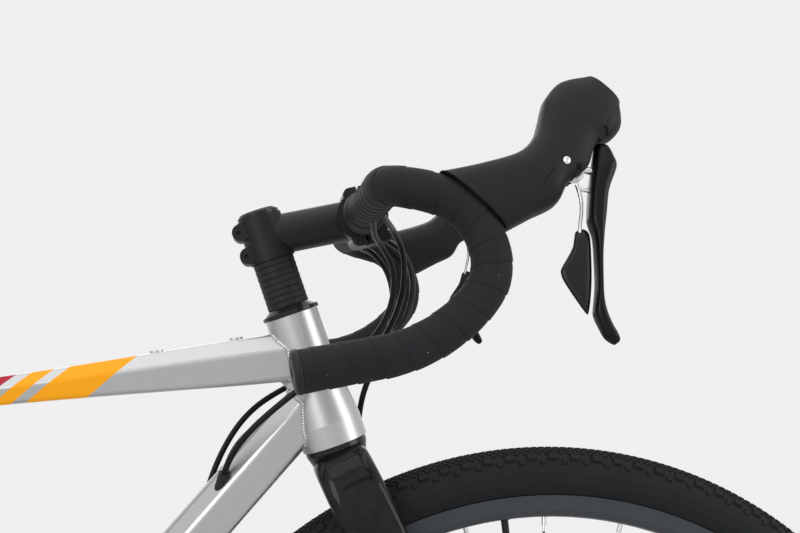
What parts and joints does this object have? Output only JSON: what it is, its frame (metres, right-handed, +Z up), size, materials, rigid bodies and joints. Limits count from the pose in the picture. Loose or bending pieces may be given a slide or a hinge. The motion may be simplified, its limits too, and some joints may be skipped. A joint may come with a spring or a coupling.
{
  "type": "gravel bike",
  "caption": "Drop-bar gravel bicycle with disc brakes, a shaped alloy frame, black fork, wide knobbed tyres and integrated brake and shift levers.",
  "frame": {"origin": "on the floor, midway between the two axles, in the middle plane of the frame", "axes": "+X ahead along the bicycle, +Y to its left, +Z up"},
  "size_m": [1.7348, 0.5132, 0.9751],
  "materials": {
    "frame_silver": "satin lacquer",
    "fork_black": "gloss clear coat over carbon fibre",
    "alloy_black": "matte anodised",
    "steel": "satin",
    "lever_black": "fine satin",
    "hood_rubber": "matte",
    "tape": "soft embossed",
    "tyre_rubber": "matte",
    "saddle_cover": "smooth matte",
    "saddle_base": "moulded"
  },
  "bodies": {
    "frame": {"head_tube": "frame_silver", "top_tube": "frame_silver", "down_tube": "frame_silver", "seat_tube": "frame_silver", "rear_triangle": "frame_silver", "seat_collar": "alloy_black", "headset_bearings": "steel", "boss_inserts": "steel", "bottom_bracket_cups": "alloy_black", "rear_thru_axle": "steel", "rear_caliper": "alloy_black", "cable_grommets": "hood_rubber", "front_derailleur_body": "alloy_black", "rear_derailleur_body": "alloy_black", "chain": "steel", "cable_housings": "hood_rubber"},
    "seatpost": {"seatpost": "alloy_black"},
    "saddle": {"saddle_rails": "alloy_black", "saddle_shell": "saddle_base", "saddle_pad": "saddle_cover"},
    "steering": {"fork": "fork_black", "headset_covers": "alloy_black", "headset_spacers": "alloy_black", "stem": "alloy_black", "stem_faceplate": "alloy_black", "handlebar": "alloy_black", "bar_tape": "tape", "lever_hoods": "hood_rubber", "lever_brackets": "lever_black", "front_caliper": "alloy_black", "front_thru_axle": "steel", "front_brake_hose": "hood_rubber"},
    "right_lever_yoke": {"right_lever_yoke": "steel"},
    "right_brake_lever": {"right_brake_lever": "lever_black"},
    "right_shift_paddle": {"right_shift_paddle": "lever_black"},
    "left_lever_yoke": {"left_lever_yoke": "steel"},
    "left_brake_lever": {"left_brake_lever": "lever_black"},
    "left_shift_paddle": {"left_shift_paddle": "lever_black"},
    "front_wheel": {"front_hub": "alloy_black", "front_rim": "alloy_black", "front_spokes": "steel", "front_tyre": "tyre_rubber", "front_rotor": "steel"},
    "rear_wheel": {"rear_hub": "alloy_black", "rear_rim": "alloy_black", "rear_spokes": "steel", "rear_tyre": "tyre_rubber", "rear_rotor": "steel"},
    "cassette": {"cassette": "steel"},
    "crank": {"right_crank": "alloy_black", "chainrings": "steel", "left_crank": "alloy_black"},
    "right_pedal": {"right_pedal": "alloy_black"},
    "left_pedal": {"left_pedal": "alloy_black"},
    "rear_derailleur_link": {"rear_derailleur_links": "alloy_black"},
    "rear_derailleur_knuckle": {"rear_derailleur_knuckle": "alloy_black"},
    "rear_derailleur_cage": {"rear_derailleur_cage": "alloy_black"},
    "guide_pulley": {"guide_pulley": "lever_black"},
    "tension_pulley": {"tension_pulley": "lever_black"},
    "front_derailleur_cage": {"front_derailleur_cage": "alloy_black"}
  },
  "joints": [
    {"name": "steering", "type": "hinge", "parent": "frame", "child": "steering", "pos_m": [0.46806, 0, 0.3397], "axis": [-0.3256, 0, 0.9455], "range_deg": [-60, 60], "deforming": ["cable_housings"]},
    {"name": "front_wheel_spin", "type": "hinge", "parent": "steering", "child": "front_wheel", "pos_m": [0.5125, 0, 0.355], "axis": [0, 1, 0], "continuous": true},
    {"name": "rear_wheel_spin", "type": "hinge", "parent": "frame", "child": "rear_wheel", "pos_m": [-0.5125, 0, 0.355], "axis": [0, 1, 0], "continuous": true},
    {"name": "crank_spin", "type": "hinge", "parent": "frame", "child": "crank", "pos_m": [-0.08824, 0, 0.285], "axis": [0, 1, 0], "continuous": true, "deforming": ["chain"]},
    {"name": "cassette_spin", "type": "hinge", "parent": "frame", "child": "cassette", "pos_m": [-0.5125, 0, 0.355], "axis": [0, 1, 0], "continuous": true},
    {"name": "right_pedal_spin", "type": "hinge", "parent": "crank", "child": "right_pedal", "pos_m": [0.08176, 0, 0.285], "axis": [0, 1, 0], "continuous": true},
    {"name": "left_pedal_spin", "type": "hinge", "parent": "crank", "child": "left_pedal", "pos_m": [-0.25824, 0, 0.285], "axis": [0, 1, 0], "continuous": true},
    {"name": "right_brake_pull", "type": "hinge", "parent": "steering", "child": "right_lever_yoke", "pos_m": [0.47597, -0.19935, 0.91526], "axis": [-0.0569, 0.9703, -0.2351], "range_deg": [0, 20], "stiffness_Nm_per_rad": 1.2, "springref_deg": -22.92},
    {"name": "right_lever_swing", "type": "hinge", "parent": "right_lever_yoke", "child": "right_brake_lever", "pos_m": [0.48597, -0.19962, 0.91169], "axis": [0.9846, 0.0155, -0.1742], "range_deg": [0, 15], "stiffness_Nm_per_rad": 0.5, "springref_deg": -22.92},
    {"name": "right_paddle_swing", "type": "hinge", "parent": "right_brake_lever", "child": "right_shift_paddle", "pos_m": [0.48567, -0.20303, 0.8977], "axis": [0.9849, 0.016, -0.1724], "range_deg": [0, 12], "stiffness_Nm_per_rad": 0.3, "springref_deg": -22.92},
    {"name": "left_brake_pull", "type": "hinge", "parent": "steering", "child": "left_lever_yoke", "pos_m": [0.47597, 0.19935, 0.91526], "axis": [0.0569, 0.9703, 0.2351], "range_deg": [0, 20], "stiffness_Nm_per_rad": 1.2, "springref_deg": -22.92},
    {"name": "left_lever_swing", "type": "hinge", "parent": "left_lever_yoke", "child": "left_brake_lever", "pos_m": [0.48597, 0.19962, 0.91169], "axis": [-0.9846, 0.0155, 0.1742], "range_deg": [0, 15], "stiffness_Nm_per_rad": 0.5, "springref_deg": -22.92},
    {"name": "left_paddle_swing", "type": "hinge", "parent": "left_brake_lever", "child": "left_shift_paddle", "pos_m": [0.48567, 0.20303, 0.8977], "axis": [-0.9849, 0.016, 0.1724], "range_deg": [0, 12], "stiffness_Nm_per_rad": 0.3, "springref_deg": -22.92},
    {"name": "rear_derailleur_shift", "type": "hinge", "parent": "frame", "child": "rear_derailleur_link", "pos_m": [-0.5555, -0.082, 0.302], "axis": [0, 0.6, 0.8], "range_deg": [-23, 43], "deforming": ["chain"]},
    {"name": "rear_derailleur_knuckle_turn", "type": "hinge", "parent": "rear_derailleur_link", "child": "rear_derailleur_knuckle", "pos_m": [-0.5095, -0.07, 0.293], "axis": [0, 0.6, 0.8], "range_deg": [-43, 23]},
    {"name": "rear_derailleur_cage_swing", "type": "hinge", "parent": "rear_derailleur_knuckle", "child": "rear_derailleur_cage", "pos_m": [-0.5005, -0.05, 0.271], "axis": [0, 1, 0], "range_deg": [-20, 40], "stiffness_Nm_per_rad": 1, "deforming": ["chain"]},
    {"name": "guide_pulley_spin", "type": "hinge", "parent": "rear_derailleur_cage", "child": "guide_pulley", "pos_m": [-0.5005, -0.05, 0.271], "axis": [0, 1, 0], "continuous": true},
    {"name": "tension_pulley_spin", "type": "hinge", "parent": "rear_derailleur_cage", "child": "tension_pulley", "pos_m": [-0.46418, -0.05, 0.20424], "axis": [0, 1, 0], "continuous": true},
    {"name": "front_derailleur_shift", "type": "hinge", "parent": "frame", "child": "front_derailleur_cage", "pos_m": [-0.11247, -0.03, 0.43122], "axis": [1, 0, 0], "range_deg": [0, 8.6], "deforming": ["chain"]},
    {"name": "seatpost_height", "type": "slide", "parent": "frame", "child": "seatpost", "axis": [-0.2756, 0, 0.9613], "range_m": [-0.1, 0.04]},
    {"name": "saddle_tilt", "type": "hinge", "parent": "seatpost", "child": "saddle", "pos_m": [-0.26575, 0, 0.90405], "axis": [0, 1, 0], "range_deg": [-8, 8]}
  ],
  "couplings": [
    {"joint": "cassette_spin", "follows": "crank_spin", "ratio": 2.4211},
    {"joint": "guide_pulley_spin", "follows": "crank_spin", "ratio": -4.1818},
    {"joint": "tension_pulley_spin", "follows": "crank_spin", "ratio": 4.1818},
    {"joint": "rear_derailleur_knuckle_turn", "follows": "rear_derailleur_shift", "ratio": -1}
  ]
}
